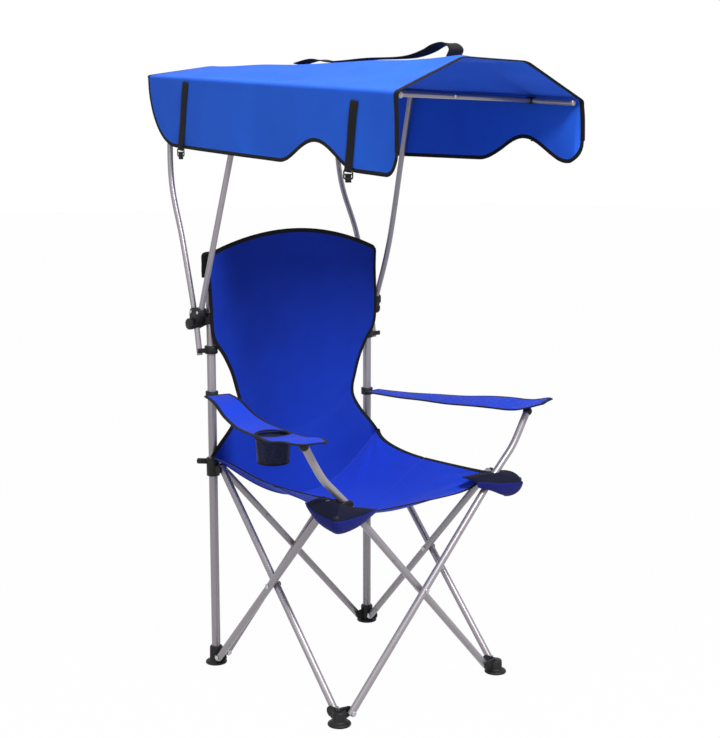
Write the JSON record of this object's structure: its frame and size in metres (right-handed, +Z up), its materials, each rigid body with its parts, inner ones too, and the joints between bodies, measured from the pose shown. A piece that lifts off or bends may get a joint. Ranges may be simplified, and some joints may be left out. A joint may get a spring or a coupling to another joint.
{
  "type": "folding fishing chair",
  "caption": "Folding chair for fishing and camping: crossed-tube frame that gathers into a bundle, sling seat, tall cloth back, strap armrests, cup holder and a sun canopy that tilts back",
  "frame": {"origin": "on the floor, in the middle of the four feet", "axes": "+Z up; -Y is the front of the chair, where the sitter faces; +X is the sitter's left"},
  "size_m": [0.7076, 0.8652, 1.4101],
  "materials": {
    "tube": "satin grey enamel",
    "black_plastic": "fine matt",
    "rivet": "zinc plated",
    "seat_cloth": "plain coated weave",
    "canopy_cloth": "plain coated weave",
    "webbing": "ribbed webbing",
    "cup_mesh": "open mesh"
  },
  "bodies": {
    "rear_right_leg": {"foot_rear_right": "black_plastic", "upright_right": "tube", "upright_plug_right": "black_plastic", "canopy_clamp_right": "black_plastic", "canopy_stop_right": "black_plastic", "back_panel": "seat_cloth"},
    "right_outer": {"right_outer_tube": "tube", "right_crossing_rivet": "rivet"},
    "right_inner": {"right_inner_tube": "tube"},
    "front_right_foot": {"foot_front_right": "black_plastic"},
    "front_right_hub": {"hub_front_right": "black_plastic", "hub_pocket_front_right": "seat_cloth"},
    "rear_right_slider": {"slider_rear_right": "black_plastic"},
    "back_inner": {"back_inner_tube": "tube"},
    "back_outer": {"back_outer_tube": "tube", "back_crossing_rivet": "rivet"},
    "rear_left_leg": {"foot_rear_left": "black_plastic", "upright_left": "tube", "upright_plug_left": "black_plastic", "canopy_clamp_left": "black_plastic", "canopy_stop_left": "black_plastic"},
    "rear_left_slider": {"slider_rear_left": "black_plastic"},
    "front_outer": {"front_outer_tube": "tube", "front_crossing_rivet": "rivet", "arm_cap_left": "black_plastic"},
    "front_inner": {"front_inner_tube": "tube", "arm_cap_right": "black_plastic"},
    "front_left_foot": {"foot_front_left": "black_plastic"},
    "front_left_hub": {"hub_front_left": "black_plastic", "hub_pocket_front_left": "seat_cloth"},
    "left_inner": {"left_inner_tube": "tube"},
    "left_outer": {"left_outer_tube": "tube", "left_crossing_rivet": "rivet"},
    "right_arm_loop": {"arm_loop_right": "black_plastic"},
    "left_arm_loop": {"arm_loop_left": "black_plastic"},
    "right_armrest": {"armrest_right": "seat_cloth"},
    "left_armrest": {"armrest_left": "seat_cloth"},
    "cup_holder": {"cup_holder": "cup_mesh"},
    "rear_seat": {"seat_rear": "seat_cloth"},
    "front_seat": {"seat_front": "seat_cloth"},
    "right_canopy_side": {"strut_block_right": "black_plastic", "rear_strut_right": "tube", "front_strut_right": "tube", "canopy_rail_right": "tube", "tie_rear_right": "webbing", "tie_front_right": "webbing", "canopy": "canopy_cloth", "carry_strap": "webbing"},
    "left_canopy_side": {"strut_block_left": "black_plastic", "rear_strut_left": "tube", "front_strut_left": "tube", "canopy_rail_left": "tube", "tie_rear_left": "webbing", "tie_front_left": "webbing"},
    "right_knob": {"canopy_knob_right": "black_plastic"},
    "left_knob": {"canopy_knob_left": "black_plastic"},
    "front_bar_right": {"cross_bar_front_right": "tube"},
    "front_bar_left": {"cross_bar_front_left": "tube"},
    "rear_bar_right": {"cross_bar_rear_right": "tube"},
    "rear_bar_left": {"cross_bar_rear_left": "tube"}
  },
  "joints": [
    {"name": "fold", "type": "hinge", "parent": "rear_right_leg", "child": "right_outer", "pos_m": [-0.2383, 0.204, 0.022], "axis": [-1, 0, 0], "range_deg": [0, 36.81], "deforming": ["back_panel", "canopy", "carry_strap"]},
    {"name": "right_crossing", "type": "hinge", "parent": "right_outer", "child": "right_inner", "pos_m": [-0.23, 0, 0.2445], "axis": [-1, 0, 0], "range_deg": [-73.62, 0]},
    {"name": "front_right_foot_pin", "type": "hinge", "parent": "right_inner", "child": "front_right_foot", "pos_m": [-0.2217, -0.204, 0.022], "axis": [-1, 0, 0], "range_deg": [0, 36.81]},
    {"name": "front_right_hub_pin", "type": "hinge", "parent": "right_outer", "child": "front_right_hub", "pos_m": [-0.2383, -0.204, 0.467], "axis": [-1, 0, 0], "range_deg": [-36.81, 0]},
    {"name": "rear_right_slider_pin", "type": "hinge", "parent": "right_inner", "child": "rear_right_slider", "pos_m": [-0.2217, 0.204, 0.467], "axis": [-1, 0, 0], "range_deg": [0, 36.81]},
    {"name": "back_inner_foot_pin", "type": "hinge", "parent": "rear_right_leg", "child": "back_inner", "pos_m": [-0.204, 0.2217, 0.022], "axis": [0, 1, 0], "range_deg": [-36.81, 0]},
    {"name": "back_crossing", "type": "hinge", "parent": "back_inner", "child": "back_outer", "pos_m": [0, 0.23, 0.2445], "axis": [0, 1, 0], "range_deg": [0, 73.62]},
    {"name": "rear_left_foot_pin", "type": "hinge", "parent": "back_outer", "child": "rear_left_leg", "pos_m": [0.204, 0.2383, 0.022], "axis": [0, 1, 0], "range_deg": [-36.81, 0]},
    {"name": "rear_left_slider_pin", "type": "hinge", "parent": "back_inner", "child": "rear_left_slider", "pos_m": [0.204, 0.2217, 0.467], "axis": [0, 1, 0], "range_deg": [0, 36.81]},
    {"name": "front_outer_foot_pin", "type": "hinge", "parent": "front_right_foot", "child": "front_outer", "pos_m": [-0.204, -0.2383, 0.022], "axis": [0, -1, 0], "range_deg": [0, 36.81]},
    {"name": "front_crossing", "type": "hinge", "parent": "front_outer", "child": "front_inner", "pos_m": [0, -0.23, 0.2445], "axis": [0, -1, 0], "range_deg": [-73.62, 0]},
    {"name": "front_left_foot_pin", "type": "hinge", "parent": "front_inner", "child": "front_left_foot", "pos_m": [0.204, -0.2217, 0.022], "axis": [0, -1, 0], "range_deg": [0, 36.81]},
    {"name": "front_left_hub_pin", "type": "hinge", "parent": "front_outer", "child": "front_left_hub", "pos_m": [0.204, -0.2383, 0.467], "axis": [0, -1, 0], "range_deg": [-36.81, 0]},
    {"name": "left_inner_foot_pin", "type": "hinge", "parent": "rear_left_leg", "child": "left_inner", "pos_m": [0.2217, 0.204, 0.022], "axis": [1, 0, 0], "range_deg": [-36.81, 0]},
    {"name": "left_crossing", "type": "hinge", "parent": "left_inner", "child": "left_outer", "pos_m": [0.23, 0, 0.2445], "axis": [1, 0, 0], "range_deg": [0, 73.62]},
    {"name": "right_arm_loop_slide", "type": "slide", "parent": "rear_right_leg", "child": "right_arm_loop", "axis": [0, 0, 1], "range_m": [0, 0.075]},
    {"name": "left_arm_loop_slide", "type": "slide", "parent": "rear_left_leg", "child": "left_arm_loop", "axis": [0, 0, 1], "range_m": [0, 0.085]},
    {"name": "right_armrest_hinge", "type": "hinge", "parent": "right_arm_loop", "child": "right_armrest", "pos_m": [-0.23, 0.211, 0.6365], "axis": [-0.9296, 0.1579, 0.333], "range_deg": [0, 55.93], "deforming": ["armrest_right"]},
    {"name": "left_armrest_hinge", "type": "hinge", "parent": "left_arm_loop", "child": "left_armrest", "pos_m": [0.23, 0.211, 0.5965], "axis": [-0.9377, -0.1819, -0.296], "range_deg": [0, 52.58], "deforming": ["armrest_left"]},
    {"name": "cup_holder_swing", "type": "slide", "parent": "front_right_hub", "child": "cup_holder", "axis": [0.4771, -0.7509, -0.4566], "range_m": [0, 0.12025]},
    {"name": "rear_seat_fold", "type": "hinge", "parent": "rear_right_slider", "child": "rear_seat", "pos_m": [-0.2, 0.2, 0.455], "axis": [1, 0, 0], "range_deg": [0, 75], "deforming": ["seat_rear"]},
    {"name": "front_seat_fold", "type": "hinge", "parent": "front_right_hub", "child": "front_seat", "pos_m": [-0.2, -0.222, 0.46], "axis": [-1, 0, 0], "range_deg": [0, 75], "deforming": ["seat_front"]},
    {"name": "canopy_tilt_right", "type": "hinge", "parent": "rear_right_leg", "child": "right_canopy_side", "pos_m": [-0.257, 0.248, 0.8], "axis": [-1, 0, 0], "range_deg": [0, 95]},
    {"name": "canopy_tilt_left", "type": "hinge", "parent": "rear_left_leg", "child": "left_canopy_side", "pos_m": [0.257, 0.248, 0.8], "axis": [-1, 0, 0], "range_deg": [0, 95.01]},
    {"name": "knob_turn_right", "type": "hinge", "parent": "rear_right_leg", "child": "right_knob", "pos_m": [-0.273, 0.248, 0.8], "axis": [-1, 0, 0], "range_deg": [0, 360]},
    {"name": "knob_turn_left", "type": "hinge", "parent": "rear_left_leg", "child": "left_knob", "pos_m": [0.273, 0.248, 0.8], "axis": [1, 0, 0], "range_deg": [0, 360]},
    {"name": "front_bar_right_fold", "type": "hinge", "parent": "right_canopy_side", "child": "front_bar_right", "pos_m": [-0.236, -0.3134, 1.28685], "axis": [0, 0.9964, 0.0852], "range_deg": [0, 74.77]},
    {"name": "front_bar_left_fold", "type": "hinge", "parent": "left_canopy_side", "child": "front_bar_left", "pos_m": [0.236, -0.3026, 1.28777], "axis": [0, -0.9964, -0.0852], "range_deg": [0, 74.77]},
    {"name": "rear_bar_right_fold", "type": "hinge", "parent": "right_canopy_side", "child": "rear_bar_right", "pos_m": [-0.236, 0.2896, 1.33843], "axis": [0, 0.9964, 0.0852], "range_deg": [0, 74.77]},
    {"name": "rear_bar_left_fold", "type": "hinge", "parent": "left_canopy_side", "child": "rear_bar_left", "pos_m": [0.236, 0.3004, 1.33936], "axis": [0, -0.9964, -0.0852], "range_deg": [0, 74.77]}
  ],
  "couplings": [
    {"joint": "right_crossing", "follows": "fold", "ratio": -2},
    {"joint": "front_right_foot_pin", "follows": "fold", "ratio": 1},
    {"joint": "front_right_hub_pin", "follows": "fold", "ratio": -1},
    {"joint": "rear_right_slider_pin", "follows": "fold", "ratio": 1},
    {"joint": "back_inner_foot_pin", "follows": "fold", "ratio": -1},
    {"joint": "back_crossing", "follows": "fold", "ratio": 2},
    {"joint": "rear_left_foot_pin", "follows": "fold", "ratio": -1},
    {"joint": "rear_left_slider_pin", "follows": "fold", "ratio": 1},
    {"joint": "front_outer_foot_pin", "follows": "fold", "ratio": 1},
    {"joint": "front_crossing", "follows": "fold", "ratio": -2},
    {"joint": "front_left_foot_pin", "follows": "fold", "ratio": 1},
    {"joint": "front_left_hub_pin", "follows": "fold", "ratio": -1},
    {"joint": "left_inner_foot_pin", "follows": "fold", "ratio": -1},
    {"joint": "left_crossing", "follows": "fold", "ratio": 2},
    {"joint": "right_arm_loop_slide", "follows": "fold", "m_per_rad": 0.11674},
    {"joint": "left_arm_loop_slide", "follows": "fold", "m_per_rad": 0.13231},
    {"joint": "right_armrest_hinge", "follows": "fold", "ratio": 1.5192},
    {"joint": "left_armrest_hinge", "follows": "fold", "ratio": 1.4283},
    {"joint": "cup_holder_swing", "follows": "fold", "m_per_rad": 0.18717},
    {"joint": "rear_seat_fold", "follows": "fold", "ratio": 2.0375},
    {"joint": "front_seat_fold", "follows": "fold", "ratio": 2.0375},
    {"joint": "canopy_tilt_left", "follows": "canopy_tilt_right", "ratio": 1},
    {"joint": "front_bar_right_fold", "follows": "fold", "ratio": 2.0312},
    {"joint": "front_bar_left_fold", "follows": "fold", "ratio": 2.0312},
    {"joint": "rear_bar_right_fold", "follows": "fold", "ratio": 2.0312},
    {"joint": "rear_bar_left_fold", "follows": "fold", "ratio": 2.0312}
  ]
}
